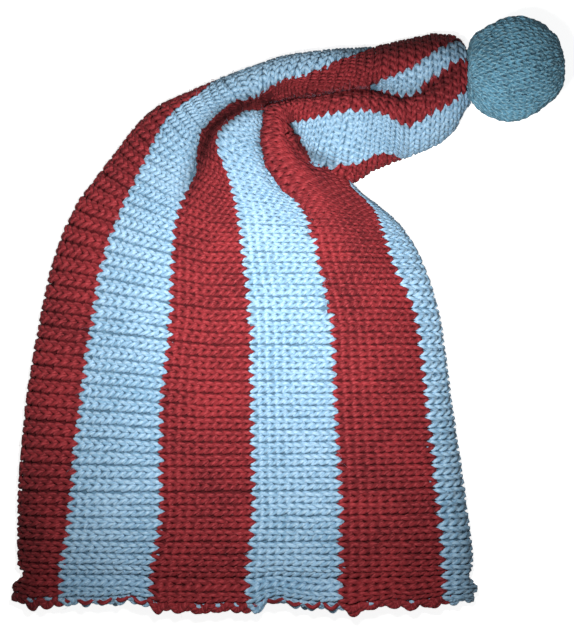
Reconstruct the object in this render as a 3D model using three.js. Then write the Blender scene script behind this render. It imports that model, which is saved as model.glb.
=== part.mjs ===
// A knitted nightcap lying flat: a long striped tube, open at the mouth, whose narrowing tail
// is folded over to the right and ends in a stuffed ball.
// +X runs to the right across the mouth, +Y from the mouth to the fold, +Z up from the
// surface that the cap lies on. The origin is the bottom centre of the whole cap.
import * as THREE from "three";

// Driving dimensions, in millimetres.
const mouthWidth = 235; // across the mouth, laid flat
const capLength = 298; // from the mouth edge to the highest point of the folded tail
const puff = 28; // height of the two layers where they stand freely
const edgeHeight = 17; // height of the rounded side folds
const knitThickness = 4; // one layer of the knitted fabric
const seamGap = 0.3; // between neighbouring stripes, and between tail and ball
const ballWidth = 56; // across the stuffed ball, where nothing presses on it
const ballHeight = 50; // from the surface that it rests on
const ballFlat = 0.84; // reach of the side pressed on the tail, as a share of the round one

// How finely the fabric is faceted.
const rowSpacing = 9;
const columnsPerStripe = 5;
const loopSteps = 180;

// The five red and five blue stripes, in their order round the tube.
const stripeNames = [
  "red_stripe_1",
  "blue_stripe_1",
  "red_stripe_2",
  "blue_stripe_2",
  "red_stripe_3",
  "blue_stripe_3",
  "red_stripe_4",
  "blue_stripe_4",
  "red_stripe_5",
  "blue_stripe_5",
];

// Sections across the tube from mouth to ball. outer and inner are the two side folds, x as a
// share of mouthWidth and y as a share of capLength; height and lift are shares of puff. The
// seams between stripes are shares of the front, from the outer fold at 0 to the inner fold
// at 1. Below 0 or over 1 a seam has passed round a fold to the back.
const sectionColumns = "outerX outerY innerX innerY height lift seam1 seam2 seam3 seam4 seam5 seam6";
const sections = [
  [0.0, -0.008, 1.0, -0.006, 0.72, 0, 0.087, 0.293, 0.51, 0.718, 0.957, 1.15], // hem edge
  [-0.011, 0.021, 1.016, 0.018, 0.82, 0, 0.098, 0.298, 0.508, 0.71, 0.941, 1.14], // hem roll
  [0.007, 0.042, 1.011, 0.039, 0.7, 0, 0.085, 0.29, 0.503, 0.709, 0.942, 1.14], // hem notch
  [-0.004, 0.067, 1.02, 0.063, 0.82, 0, 0.098, 0.299, 0.507, 0.707, 0.932, 1.13],
  [-0.002, 0.181, 1.002, 0.19, 0.95, 0, 0.118, 0.323, 0.528, 0.719, 0.935, 1.13],
  [0.02, 0.357, 0.971, 0.357, 1.0, 0, 0.127, 0.32, 0.532, 0.725, 0.94, 1.14], // middle
  [0.047, 0.498, 0.949, 0.502, 1.0, 0, 0.132, 0.328, 0.527, 0.727, 0.938, 1.14],
  [0.076, 0.6, 0.911, 0.604, 1.0, 0, 0.139, 0.326, 0.519, 0.716, 0.917, 1.14], // shoulder
  [0.119, 0.695, 0.861, 0.664, 1.0, 0, 0.145, 0.319, 0.503, 0.711, 0.934, 1.13],
  [0.199, 0.782, 0.819, 0.695, 1.02, 0, 0.115, 0.308, 0.44, 0.64, 0.955, 1.12], // bend
  [0.304, 0.864, 0.785, 0.713, 1.05, 0, 0.08, 0.215, 0.3, 0.52, 0.955, 1.1],
  [0.398, 0.905, 0.766, 0.725, 1.08, 0, 0.038, 0.187, 0.28, 0.405, 0.95, 1.06],
  [0.42, 0.913, 0.762, 0.73, 1.08, 0, 0.028, 0.188, 0.292, 0.38, 0.78, 0.99],
  [0.444, 0.921, 0.757, 0.735, 1.08, 0, 0.018, 0.19, 0.305, 0.36, 0.57, 0.93],
  [0.506, 0.944, 0.752, 0.741, 1.08, 0, -0.02, 0.2, 0.325, 0.365, 0.475, 0.87],
  [0.606, 0.967, 0.749, 0.748, 1.08, 0, -0.1, 0.175, 0.32, 0.36, 0.5, 0.895], // crotch
  [0.72, 0.975, 0.763, 0.754, 1.08, 0, -0.18, 0.09, 0.315, 0.35, 0.5, 0.9],
  [0.781, 0.977, 0.792, 0.766, 1.05, 0, -0.22, 0.02, 0.32, 0.35, 0.56, 0.93],
  [0.821, 0.984, 0.826, 0.778, 1.02, 0, -0.25, -0.03, 0.34, 0.455, 0.66, 0.96], // tail
  [0.877, 0.993, 0.877, 0.789, 1.0, 0, -0.3, -0.1, 0.28, 0.515, 0.765, 1.03],
  [0.931, 1.0, 0.944, 0.813, 0.98, 0, -0.32, -0.15, 0.18, 0.41, 0.735, 1.1],
  [0.966, 0.998, 0.98, 0.838, 0.95, 0, -0.33, -0.2, 0.11, 0.33, 0.725, 1.14],
  [0.993, 0.986, 0.998, 0.866, 0.88, 0, -0.33, -0.22, 0.06, 0.31, 0.78, 1.15], // neck
  [1.01, 0.967, 1.013, 0.885, 0.66, 0.08, -0.33, -0.22, 0.06, 0.31, 0.78, 1.15], // gather
];

// The folds pressed into the front layer. Each point is x as a share of mouthWidth, y of
// capLength and the rise of the cloth there as a share of puff, below 0 in a valley. reach is
// a share of mouthWidth.
const folds = [
  {
    name: "roll of the third red stripe, up the body and round into the tail",
    reach: 0.036,
    points: [
      [0.82, 0.53, 0.05], [0.758, 0.63, 0.18], [0.685, 0.7, 0.3], [0.62, 0.762, 0.4],
      [0.584, 0.815, 0.44], [0.586, 0.857, 0.4], [0.64, 0.871, 0.3], [0.73, 0.876, 0.26],
      [0.834, 0.864, 0.22], [0.919, 0.886, 0.18], [0.975, 0.917, 0.05],
    ],
  },
  {
    name: "valley on the outer side of the roll, running on into the tail",
    reach: 0.017,
    points: [
      [0.665, 0.63, 0], [0.63, 0.702, -0.15], [0.575, 0.745, -0.28], [0.548, 0.797, -0.36],
      [0.551, 0.863, -0.4], [0.56, 0.886, -0.34], [0.63, 0.89, -0.26], [0.787, 0.905, -0.3],
      [0.84, 0.886, -0.26], [0.9, 0.895, -0.24], [0.942, 0.928, -0.16], [0.982, 0.95, -0.04],
    ],
  },
  {
    name: "valley under the inner side of the roll",
    reach: 0.019,
    points: [
      [0.617, 0.852, -0.12], [0.615, 0.808, -0.34], [0.64, 0.782, -0.36], [0.69, 0.77, -0.34],
      [0.745, 0.748, -0.2],
    ],
  },
  {
    name: "valley between the first blue and the second red stripe",
    reach: 0.015,
    points: [
      [0.35, 0.66, 0], [0.37, 0.715, -0.16], [0.39, 0.775, -0.3], [0.42, 0.84, -0.34],
      [0.48, 0.876, -0.26], [0.56, 0.905, -0.08],
    ],
  },
  {
    name: "slack dip across the second red stripe in the tail",
    reach: 0.02,
    points: [[0.64, 0.94, 0], [0.7, 0.93, -0.14], [0.787, 0.91, -0.12]],
  },
  {
    name: "crease across the tail near the ball",
    reach: 0.018,
    points: [[0.866, 0.88, -0.1], [0.878, 0.838, -0.16], [0.885, 0.8, -0.05]],
  },
];
const foldFade = 8; // how late a fold dies away towards the side folds, as an exponent
const domeShape = 3.2; // how flat the top of a section is, as an exponent

// Material colours.
const redYarn = new THREE.Color(0x9e2433);
const blueYarn = new THREE.Color(0x86b8d4);
const ballYarn = new THREE.Color(0x5b95b5);

// Slopes of a curve through the knots that never overshoots them.
function knotSlopes(knots, values) {
  const count = knots.length;
  const steps = [];
  for (let i = 0; i < count - 1; i += 1) {
    steps.push((values[i + 1] - values[i]) / (knots[i + 1] - knots[i]));
  }
  const slopes = [steps[0]];
  for (let i = 1; i < count - 1; i += 1) {
    const before = steps[i - 1];
    const after = steps[i];
    slopes.push(before * after > 0 ? (2 * before * after) / (before + after) : 0);
  }
  slopes.push(steps[count - 2]);
  return slopes;
}

function knotCurve(knots, values) {
  const slopes = knotSlopes(knots, values);
  return (s) => {
    let i = 0;
    while (i < knots.length - 2 && s > knots[i + 1]) {
      i += 1;
    }
    const span = knots[i + 1] - knots[i];
    const t = Math.min(1, Math.max(0, (s - knots[i]) / span));
    const a = 2 * t ** 3 - 3 * t ** 2 + 1;
    const b = t ** 3 - 2 * t ** 2 + t;
    const c = 3 * t ** 2 - 2 * t ** 3;
    const d = t ** 3 - t ** 2;
    return a * values[i] + b * span * slopes[i] + c * values[i + 1] + d * span * slopes[i + 1];
  };
}

// Distance along the tube of each section, measured a third of the way across the front.
const measuredAt = 0.35;
const sectionKnots = [0];
for (let i = 1; i < sections.length; i += 1) {
  const [before, after] = [sections[i - 1], sections[i]].map(([ox, oy, ix, iy]) => ({
    x: (ox + (ix - ox) * measuredAt) * mouthWidth,
    y: (oy + (iy - oy) * measuredAt) * capLength,
  }));
  sectionKnots.push(sectionKnots[i - 1] + Math.hypot(after.x - before.x, after.y - before.y));
}
const tubeLength = sectionKnots[sectionKnots.length - 1];

const along = {};
sectionColumns.split(" ").forEach((column, index) => {
  along[column] = knotCurve(sectionKnots, sections.map((row) => row[index]));
});

// Rise of the front layer at a point of the plan, from all the folds.
function foldRise(x, y) {
  let rise = 0;
  for (const { reach, points } of folds) {
    let nearest = Infinity;
    let height = 0;
    for (let i = 0; i < points.length - 1; i += 1) {
      const [ax, ay, ah] = [points[i][0] * mouthWidth, points[i][1] * capLength, points[i][2]];
      const [bx, by, bh] = [points[i + 1][0] * mouthWidth, points[i + 1][1] * capLength, points[i + 1][2]];
      const lengthSquared = (bx - ax) ** 2 + (by - ay) ** 2;
      const t = Math.min(1, Math.max(0, ((x - ax) * (bx - ax) + (y - ay) * (by - ay)) / lengthSquared));
      const distance = Math.hypot(x - ax - t * (bx - ax), y - ay - t * (by - ay));
      if (distance < nearest) {
        nearest = distance;
        height = ah + (bh - ah) * t;
      }
    }
    rise += height * Math.exp(-((nearest / (reach * mouthWidth)) ** 2));
  }
  return rise * puff;
}

// One closed loop round the tube: over the front from the outer to the inner fold, and back
// along the surface underneath. turn is the share of the loop, 0 to 1 over the front and 1 to
// 2 over the back, spaced so that it turns evenly round the folds.
function sectionLoop(s, isFolded) {
  const width = Math.hypot(
    (along.innerX(s) - along.outerX(s)) * mouthWidth,
    (along.innerY(s) - along.outerY(s)) * capLength,
  );
  const lift = along.lift(s) * puff;
  const top = along.height(s) * puff;
  const middle = Math.min(edgeHeight, top) / 2;
  const rounding = middle / width;
  const points = [];
  for (let i = 0; i <= loopSteps; i += 1) {
    const turn = (i / loopSteps) * 2;
    const across = (1 - Math.cos(turn * Math.PI)) / 2;
    const x = (along.outerX(s) + (along.innerX(s) - along.outerX(s)) * across) * mouthWidth;
    const y = (along.outerY(s) + (along.innerY(s) - along.outerY(s)) * across) * capLength;
    const spread = Math.abs(2 * across - 1);
    let z;
    if (turn <= 1) {
      const dome = Math.sqrt(Math.max(0, 1 - spread ** domeShape));
      z = middle + (top - middle) * dome;
      z += isFolded ? foldRise(x, y) * (1 - spread ** foldFade) : 0;
    } else {
      const rounded = Math.max(0, (spread - 1 + 2 * rounding) / (2 * rounding));
      z = middle * (1 - Math.sqrt(Math.max(0, 1 - rounded ** 2)));
    }
    points.push(new THREE.Vector3(x, y, z + lift));
  }
  const lengths = [0];
  for (let i = 1; i <= loopSteps; i += 1) {
    lengths.push(lengths[i - 1] + points[i].distanceTo(points[i - 1]));
  }
  return { points, lengths };
}

// Length along the loop at which a seam lies, from its share of the front.
function seamLength(loop, seam) {
  const wrapped = ((seam % 2) + 2) % 2;
  const across = wrapped <= 1 ? wrapped : 2 - wrapped;
  const turn = Math.acos(1 - 2 * across) / Math.PI;
  const position = ((wrapped <= 1 ? turn : 2 - turn) / 2) * loopSteps;
  const i = Math.min(loopSteps - 1, Math.floor(position));
  const whole = Math.floor(seam / 2) * loop.lengths[loopSteps];
  return whole + loop.lengths[i] + (loop.lengths[i + 1] - loop.lengths[i]) * (position - i);
}

// Place on the loop, counted in its steps, of a length along it.
function stepAtLength(loop, length) {
  const total = loop.lengths[loopSteps];
  const wrapped = ((length % total) + total) % total;
  let low = 0;
  let high = loopSteps;
  while (high - low > 1) {
    const mid = (low + high) >> 1;
    if (loop.lengths[mid] <= wrapped) {
      low = mid;
    } else {
      high = mid;
    }
  }
  return low + (wrapped - loop.lengths[low]) / (loop.lengths[high] - loop.lengths[low]);
}

function pointAtStep(loop, step) {
  const wrapped = ((step % loopSteps) + loopSteps) % loopSteps;
  const low = Math.min(loopSteps - 1, Math.floor(wrapped));
  return loop.points[low].clone().lerp(loop.points[low + 1], wrapped - low);
}

// The eleven seam shares at s. The seams on the back share its width evenly.
function seamShares(s) {
  const front = [1, 2, 3, 4, 5, 6].map((n) => along[`seam${n}`](s));
  const backWidth = (front[0] + 2 - front[5]) / 5;
  const shares = [front[5] + 4 * backWidth - 2, ...front];
  for (let n = 1; n <= 4; n += 1) {
    shares.push(front[5] + n * backWidth);
  }
  return shares;
}

// Rows of the facets along the tube, with every section on a row.
const rows = [0];
for (let i = 1; i < sectionKnots.length; i += 1) {
  const span = sectionKnots[i] - sectionKnots[i - 1];
  const count = Math.max(1, Math.round(span / rowSpacing));
  for (let n = 1; n <= count; n += 1) {
    rows.push(sectionKnots[i - 1] + (span * n) / count);
  }
}

// The loops at every row: the folded one carries the fabric, and the plain ones beside it give
// the direction in which the fabric is thick.
const forwardStep = 1.5;
const roundSteps = 0.5;
const loops = rows.map((s) => ({
  s,
  folded: sectionLoop(s, true),
  plain: sectionLoop(s, false),
  before: sectionLoop(Math.max(0, s - forwardStep), false),
  after: sectionLoop(Math.min(tubeLength, s + forwardStep), false),
}));

// A point of the fabric's outer side, and the direction into the fabric there.
function fabricFrame({ folded, plain, before, after }, length) {
  const step = stepAtLength(folded, length);
  const round = pointAtStep(plain, step + roundSteps).sub(pointAtStep(plain, step - roundSteps));
  const forward = pointAtStep(after, step).sub(pointAtStep(before, step));
  return { point: pointAtStep(folded, step), inward: round.cross(forward).normalize().negate() };
}

// Both stripes beside a seam keep half of its gap, square to the way that the seam runs.
function seamLine(seam) {
  const line = loops.map((loop) => {
    const length = seamLength(loop.folded, seamShares(loop.s)[seam]);
    return { length, ...fabricFrame(loop, length) };
  });
  line.forEach((frame, i) => {
    const before = line[Math.max(0, i - 1)].point;
    const after = line[Math.min(line.length - 1, i + 1)].point;
    frame.sideways = frame.inward.clone().cross(after.clone().sub(before)).normalize();
  });
  return line;
}

const seamLines = [...stripeNames, "last"].map((_, seam) => seamLine(seam));

function stripeGrid(stripe) {
  const outside = [];
  const inside = [];
  loops.forEach((loop, row) => {
    const start = seamLines[stripe][row];
    const end = seamLines[stripe + 1][row];
    const frames = [];
    for (let column = 1; column < columnsPerStripe; column += 1) {
      const share = column / columnsPerStripe;
      frames.push(fabricFrame(loop, start.length + (end.length - start.length) * share));
    }
    const shifted = ({ point, inward, sideways }, shift) => {
      const moved = point.clone().addScaledVector(sideways, shift);
      moved.z = Math.max(0, moved.z); // the cap lies on its surface, not in it
      return { point: moved, inward };
    };
    const wholeRow = [shifted(start, seamGap / 2), ...frames, shifted(end, -seamGap / 2)];
    outside.push(wholeRow.map(({ point }) => point));
    inside.push(wholeRow.map(({ point, inward }) => point.clone().addScaledVector(inward, knitThickness)));
  });
  return { outside, inside };
}

// A closed slab between two grids of points.
function slabGeometry(outside, inside) {
  const rowCount = outside.length;
  const columnCount = outside[0].length;
  const positions = [...outside.flat(), ...inside.flat()].flatMap((p) => [p.x, p.y, p.z]);
  const outer = (row, column) => row * columnCount + column;
  const inner = (row, column) => rowCount * columnCount + outer(row, column);
  const faces = [];
  const quad = (a, b, c, d) => faces.push(a, b, c, a, c, d);
  for (let row = 0; row < rowCount - 1; row += 1) {
    for (let column = 0; column < columnCount - 1; column += 1) {
      quad(outer(row, column), outer(row, column + 1), outer(row + 1, column + 1), outer(row + 1, column));
      quad(inner(row, column), inner(row + 1, column), inner(row + 1, column + 1), inner(row, column + 1));
    }
    const last = columnCount - 1;
    quad(outer(row, 0), outer(row + 1, 0), inner(row + 1, 0), inner(row, 0));
    quad(outer(row, last), inner(row, last), inner(row + 1, last), outer(row + 1, last));
  }
  for (let column = 0; column < columnCount - 1; column += 1) {
    const last = rowCount - 1;
    quad(outer(0, column + 1), outer(0, column), inner(0, column), inner(0, column + 1));
    quad(outer(last, column), outer(last, column + 1), inner(last, column + 1), inner(last, column));
  }
  const geometry = new THREE.BufferGeometry();
  geometry.setAttribute("position", new THREE.Float32BufferAttribute(positions, 3));
  geometry.setIndex(faces);
  return geometry;
}

function yarnMaterial(color) {
  return new THREE.MeshStandardMaterial({ color, roughness: 0.95, metalness: 0 });
}

// The stuffed ball: round, flattened where the tail presses on it and where it rests. Its
// middle lies a little above the tail's, as a share of its width.
function ballMesh() {
  const sides = 24;
  const bands = 14;
  const middleAbove = 0.06;
  const footing = 0.97; // reach of the resting side, as a share of the round one
  const profile = [];
  for (let i = 0; i <= bands; i += 1) {
    const angle = Math.PI * (1 - i / bands);
    profile.push(new THREE.Vector2(i % bands === 0 ? 0 : Math.sin(angle), Math.max(-ballFlat, Math.cos(angle))));
  }
  const geometry = new THREE.LatheGeometry(profile, sides);
  geometry.rotateZ(-Math.PI / 2);
  geometry.rotateX(Math.PI / 2 + Math.PI / sides);
  geometry.scale(ballWidth / 2, ballWidth / 2, ballHeight / (1 + footing));
  const position = geometry.attributes.position;
  const floor = (-ballHeight * footing) / (1 + footing);
  for (let i = 0; i < position.count; i += 1) {
    position.setZ(i, Math.max(floor, position.getZ(i)));
  }
  const mesh = new THREE.Mesh(geometry, yarnMaterial(ballYarn));
  mesh.name = "stuffed_ball";
  mesh.position.set(
    Math.max(along.outerX(tubeLength), along.innerX(tubeLength)) * mouthWidth
      + seamGap + (ballWidth / 2) * ballFlat,
    ((along.outerY(tubeLength) + along.innerY(tubeLength)) / 2) * capLength + middleAbove * ballWidth,
    -floor,
  );
  return mesh;
}

const cap = new THREE.Group();
stripeNames.forEach((name, stripe) => {
  const { outside, inside } = stripeGrid(stripe);
  const color = stripe % 2 === 0 ? redYarn : blueYarn;
  const mesh = new THREE.Mesh(slabGeometry(outside, inside), yarnMaterial(color));
  mesh.name = name;
  cap.add(mesh);
});
cap.add(ballMesh());

// The origin goes to the bottom centre of the whole cap.
const bounds = new THREE.Box3().setFromObject(cap);
const centre = bounds.getCenter(new THREE.Vector3());
cap.position.set(-centre.x, -centre.y, -bounds.min.z);
cap.updateMatrixWorld(true);

export default cap;
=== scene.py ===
import bmesh
import bpy
import numpy as np
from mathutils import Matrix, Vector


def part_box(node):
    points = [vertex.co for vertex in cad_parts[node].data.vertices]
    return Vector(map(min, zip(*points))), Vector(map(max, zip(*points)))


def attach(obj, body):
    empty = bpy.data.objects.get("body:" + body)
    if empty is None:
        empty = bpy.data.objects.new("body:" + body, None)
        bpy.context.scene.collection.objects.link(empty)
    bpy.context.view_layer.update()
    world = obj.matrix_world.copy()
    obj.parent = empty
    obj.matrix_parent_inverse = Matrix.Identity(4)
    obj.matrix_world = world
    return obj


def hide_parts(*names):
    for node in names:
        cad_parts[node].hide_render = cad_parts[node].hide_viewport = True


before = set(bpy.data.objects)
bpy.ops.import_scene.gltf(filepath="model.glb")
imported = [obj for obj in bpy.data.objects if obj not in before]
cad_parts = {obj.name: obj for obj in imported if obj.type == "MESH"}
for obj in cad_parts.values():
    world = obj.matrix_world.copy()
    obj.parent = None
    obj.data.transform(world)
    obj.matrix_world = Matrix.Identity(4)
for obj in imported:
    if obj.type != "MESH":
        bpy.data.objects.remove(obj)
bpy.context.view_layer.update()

# The knitted tube. It is one fabric, worked in hand-knitting yarn and closed into a tube, and
# it lies flat in two layers with its tail folded over to the right. Its sections run from the
# mouth to the ball. Lengths are in metres.
MOUTH_WIDTH = 0.235
CAP_LENGTH = 0.298
PUFF = 0.028
EDGE_HEIGHT = 0.017
DOME_SHAPE = 3.2
FOLD_FADE = 8
STRIPES = [f"{colour}_stripe_{n}" for n in range(1, 6) for colour in ("red", "blue")]
STRIPE_COLOURS = [name.split("_")[0] for name in STRIPES]

# outer and inner are the two side folds, x a share of MOUTH_WIDTH and y of CAP_LENGTH; height
# and lift are shares of PUFF. The seams are shares of the front, from the outer fold at 0 to
# the inner fold at 1, and past either they lie on the back.
SECTION_COLUMNS = (
    "outer_x outer_y inner_x inner_y height lift seam_1 seam_2 seam_3 seam_4 seam_5 seam_6".split()
)
SECTIONS = [
    [-0.019, -0.008, 1.018, -0.006, 0.72, 0, 0.105, 0.301, 0.51, 0.711, 0.935, 1.15],  # hem edge
    [-0.022, 0.017, 1.032, 0.016, 0.82, 0, 0.108, 0.302, 0.508, 0.702, 0.923, 1.14],  # hem roll
    [0.003, 0.042, 1.012, 0.039, 0.7, 0, 0.088, 0.29, 0.503, 0.709, 0.942, 1.14],  # hem notch
    [-0.01, 0.067, 1.02, 0.063, 0.82, 0, 0.1, 0.299, 0.507, 0.707, 0.932, 1.13],
    [-0.009, 0.181, 1.002, 0.19, 0.95, 0, 0.124, 0.326, 0.528, 0.719, 0.935, 1.13],
    [0.01, 0.357, 0.971, 0.357, 1.0, 0, 0.135, 0.325, 0.532, 0.725, 0.94, 1.14],  # middle
    [0.041, 0.5, 0.946, 0.502, 1.0, 0, 0.139, 0.332, 0.527, 0.727, 0.938, 1.14],
    [0.07, 0.603, 0.906, 0.604, 1.0, 0, 0.144, 0.33, 0.519, 0.716, 0.917, 1.14],  # shoulder
    [0.118, 0.696, 0.861, 0.664, 1.0, 0, 0.152, 0.323, 0.503, 0.711, 0.934, 1.13],
    [0.199, 0.785, 0.819, 0.695, 1.02, 0, 0.13, 0.315, 0.44, 0.65, 0.955, 1.12],  # bend
    [0.296, 0.873, 0.766, 0.728, 1.05, 0, 0.09, 0.225, 0.325, 0.541, 0.965, 1.1],
    [0.393, 0.911, 0.743, 0.748, 1.08, 0, 0.045, 0.21, 0.31, 0.459, 0.97, 1.08],  # crotch
    [0.441, 0.928, 0.712, 0.757, 1.08, 0, 0.0, 0.24, 0.37, 0.42, 0.97, 1.05],
    [0.505, 0.947, 0.648, 0.766, 1.08, 0, -0.045, 0.275, 0.405, 0.425, 0.96, 1.03],
    [0.606, 0.97, 0.612, 0.806, 1.08, 0.06, -0.1, 0.285, 0.52, 0.54, 0.83, 1.02],  # tuck
    [0.72, 0.98, 0.64, 0.748, 1.08, 0.12, -0.18, 0.12, 0.38, 0.39, 0.57, 0.93],
    [0.781, 0.983, 0.742, 0.742, 1.05, 0.08, -0.22, 0.03, 0.32, 0.33, 0.52, 0.89],
    [0.821, 0.99, 0.8, 0.765, 1.02, 0.03, -0.25, -0.03, 0.32, 0.41, 0.607, 0.904],  # tail
    [0.877, 1.0, 0.877, 0.789, 1.0, 0, -0.3, -0.1, 0.28, 0.515, 0.765, 1.03],
    [0.931, 1.008, 0.944, 0.813, 0.98, 0, -0.32, -0.15, 0.18, 0.41, 0.735, 1.1],
    [0.966, 1.006, 0.98, 0.838, 0.95, 0, -0.33, -0.2, 0.11, 0.33, 0.725, 1.14],
    [0.993, 0.994, 0.998, 0.866, 0.88, 0, -0.33, -0.22, 0.06, 0.31, 0.78, 1.15],  # neck
    [1.01, 0.972, 1.013, 0.883, 0.66, 0.08, -0.33, -0.22, 0.06, 0.31, 0.78, 1.15],  # gather
]

# Each fold is a reach, a share of MOUTH_WIDTH, and its points: x, y and the rise of the cloth.
FOLDS = {
    "roll of the third red stripe": (0.036, [
        [0.82, 0.53, 0.05], [0.758, 0.63, 0.18], [0.685, 0.7, 0.3], [0.62, 0.762, 0.4],
        [0.584, 0.815, 0.44], [0.586, 0.857, 0.4], [0.64, 0.871, 0.3], [0.73, 0.876, 0.26],
        [0.834, 0.864, 0.22], [0.919, 0.886, 0.18], [0.975, 0.917, 0.05],
    ]),
    "valley outside the roll": (0.017, [
        [0.665, 0.63, 0], [0.63, 0.702, -0.15], [0.575, 0.745, -0.28], [0.548, 0.797, -0.36],
        [0.551, 0.863, -0.4], [0.56, 0.886, -0.34], [0.63, 0.89, -0.26], [0.787, 0.905, -0.3],
        [0.84, 0.886, -0.26], [0.9, 0.895, -0.24], [0.942, 0.928, -0.16], [0.982, 0.95, -0.04],
    ]),
    "valley inside the roll": (0.019, [
        [0.617, 0.852, -0.12], [0.615, 0.808, -0.34], [0.64, 0.782, -0.36], [0.69, 0.77, -0.34],
        [0.745, 0.748, -0.2],
    ]),
    "valley beside the second red stripe": (0.015, [
        [0.35, 0.66, 0], [0.37, 0.715, -0.16], [0.39, 0.775, -0.3], [0.42, 0.84, -0.34],
        [0.48, 0.876, -0.26], [0.56, 0.905, -0.08],
    ]),
    "slack dip in the tail": (0.02, [[0.64, 0.94, 0], [0.7, 0.93, -0.14], [0.787, 0.91, -0.12]]),
    "crease near the ball": (0.018, [[0.866, 0.88, -0.1], [0.878, 0.838, -0.16], [0.885, 0.8, -0.05]]),
}

# Along these edges the cloth to the right of the line hangs over the cloth to its left. Each
# point is x, y and the overhang, all as shares like the folds' own.
OVERHANGS = {
    "third red stripe over the second blue one": [
        [0.665, 0.64, 0], [0.629, 0.7025, 0.014], [0.597, 0.727, 0.023], [0.559, 0.769, 0.023],
        [0.548, 0.81, 0.022], [0.5525, 0.863, 0.018], [0.56, 0.885, 0],
    ],
    "first blue stripe over the second red one": [
        [0.53, 0.895, 0], [0.465, 0.873, 0.016], [0.432, 0.854, 0.019], [0.405, 0.829, 0.02],
        [0.394, 0.79, 0.018], [0.389, 0.75, 0.013], [0.37, 0.7, 0],
    ],
    "third red stripe over the second blue one, in the tail": [
        [0.787, 0.908, 0], [0.81, 0.894, 0.008], [0.85, 0.883, 0.012], [0.899, 0.894, 0.01],
        [0.96, 0.938, 0],
    ],
}
OVERHANG_START = 0.0135
OVERHANG_FADE = 0.0085


def knot_curve(knots, values, at):
    """Smooth curve through the knots that never overshoots them."""
    steps = np.diff(values) / np.diff(knots)
    before, after = steps[:-1], steps[1:]
    same_way = before * after > 0
    total = np.where(same_way, before + after, 1.0)
    slopes = np.concatenate([[steps[0]], np.where(same_way, 2 * before * after / total, 0.0), [steps[-1]]])
    i = np.clip(np.searchsorted(knots, at, side="right") - 1, 0, len(knots) - 2)
    span = knots[i + 1] - knots[i]
    t = np.clip((at - knots[i]) / span, 0, 1)
    return (
        (2 * t**3 - 3 * t**2 + 1) * values[i]
        + (t**3 - 2 * t**2 + t) * span * slopes[i]
        + (3 * t**2 - 2 * t**3) * values[i + 1]
        + (t**3 - t**2) * span * slopes[i + 1]
    )


def stretches(line, x, y):
    """Each stretch of a line on the plan, as seen from the places x, y.

    Gives how far off it is, its value there, its own left, and how far to its right they lie."""
    for (ax, ay, a_value), (bx, by, b_value) in zip(line, line[1:]):
        ax, bx = ax * MOUTH_WIDTH, bx * MOUTH_WIDTH
        ay, by = ay * CAP_LENGTH, by * CAP_LENGTH
        length = np.hypot(bx - ax, by - ay)
        t = np.clip(((x - ax) * (bx - ax) + (y - ay) * (by - ay)) / length**2, 0, 1)
        distance = np.hypot(x - ax - t * (bx - ax), y - ay - t * (by - ay))
        left = np.array([-(by - ay), bx - ax]) / length
        to_right = -(x - ax) * left[0] - (y - ay) * left[1]
        yield distance, a_value + (b_value - a_value) * t, left, to_right


def fold_rise(x, y):
    """Height that the folds give the front layer at points of the plan."""
    rise = np.zeros_like(x)
    for reach, line in FOLDS.values():
        nearest = np.full_like(x, np.inf)
        height = np.zeros_like(x)
        for distance, value, _, _ in stretches(line, x, y):
            height = np.where(distance < nearest, value, height)
            nearest = np.minimum(distance, nearest)
        rise += height * np.exp(-((nearest / (reach * MOUTH_WIDTH)) ** 2))
    return rise * PUFF


def overhang_shift(x, y):
    """Sideways shift of the front layer's points along the edges that hang over."""
    shift = np.zeros(x.shape + (2,))
    for line in OVERHANGS.values():
        nearest = np.full_like(x, np.inf)
        push = np.zeros(x.shape + (2,))
        for distance, value, left, to_right in stretches(line, x, y):
            inside = (np.sign(to_right) * distance / MOUTH_WIDTH - OVERHANG_START) / OVERHANG_FADE
            size = value * MOUTH_WIDTH * np.exp(-(inside**2))
            push = np.where((distance < nearest)[..., None], size[..., None] * left, push)
            nearest = np.minimum(distance, nearest)
        shift += push
    return shift


# The fabric is worked out once on a fine net: a row every ROW_STEP along the tube, and
# LOOP_STEPS round each row, over the front and back along the underside.
ROW_STEP = 0.0012
LOOP_STEPS = 480
# The tube's length is measured along a line at this share of each section.
MEASURED_AT = 0.35
table = {name: np.array(column, float) for name, column in zip(SECTION_COLUMNS, zip(*SECTIONS))}
middle_x = (table["outer_x"] + (table["inner_x"] - table["outer_x"]) * MEASURED_AT) * MOUTH_WIDTH
middle_y = (table["outer_y"] + (table["inner_y"] - table["outer_y"]) * MEASURED_AT) * CAP_LENGTH
section_knots = np.concatenate([[0], np.cumsum(np.hypot(np.diff(middle_x), np.diff(middle_y)))])
TUBE_LENGTH = section_knots[-1]
row_count = int(round(TUBE_LENGTH / ROW_STEP)) + 1
row_at = np.linspace(0, TUBE_LENGTH, row_count)
ROW_STEP = row_at[1]
net = {name: knot_curve(section_knots, table[name], row_at)[:, None] for name in SECTION_COLUMNS}
turn = np.linspace(0, 2, LOOP_STEPS + 1)[None, :]
across = (1 - np.cos(turn * np.pi)) / 2
net_x = (net["outer_x"] + (net["inner_x"] - net["outer_x"]) * across) * MOUTH_WIDTH
net_y = (net["outer_y"] + (net["inner_y"] - net["outer_y"]) * across) * CAP_LENGTH
width = np.hypot(
    (net["inner_x"] - net["outer_x"]) * MOUTH_WIDTH, (net["inner_y"] - net["outer_y"]) * CAP_LENGTH
)
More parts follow.
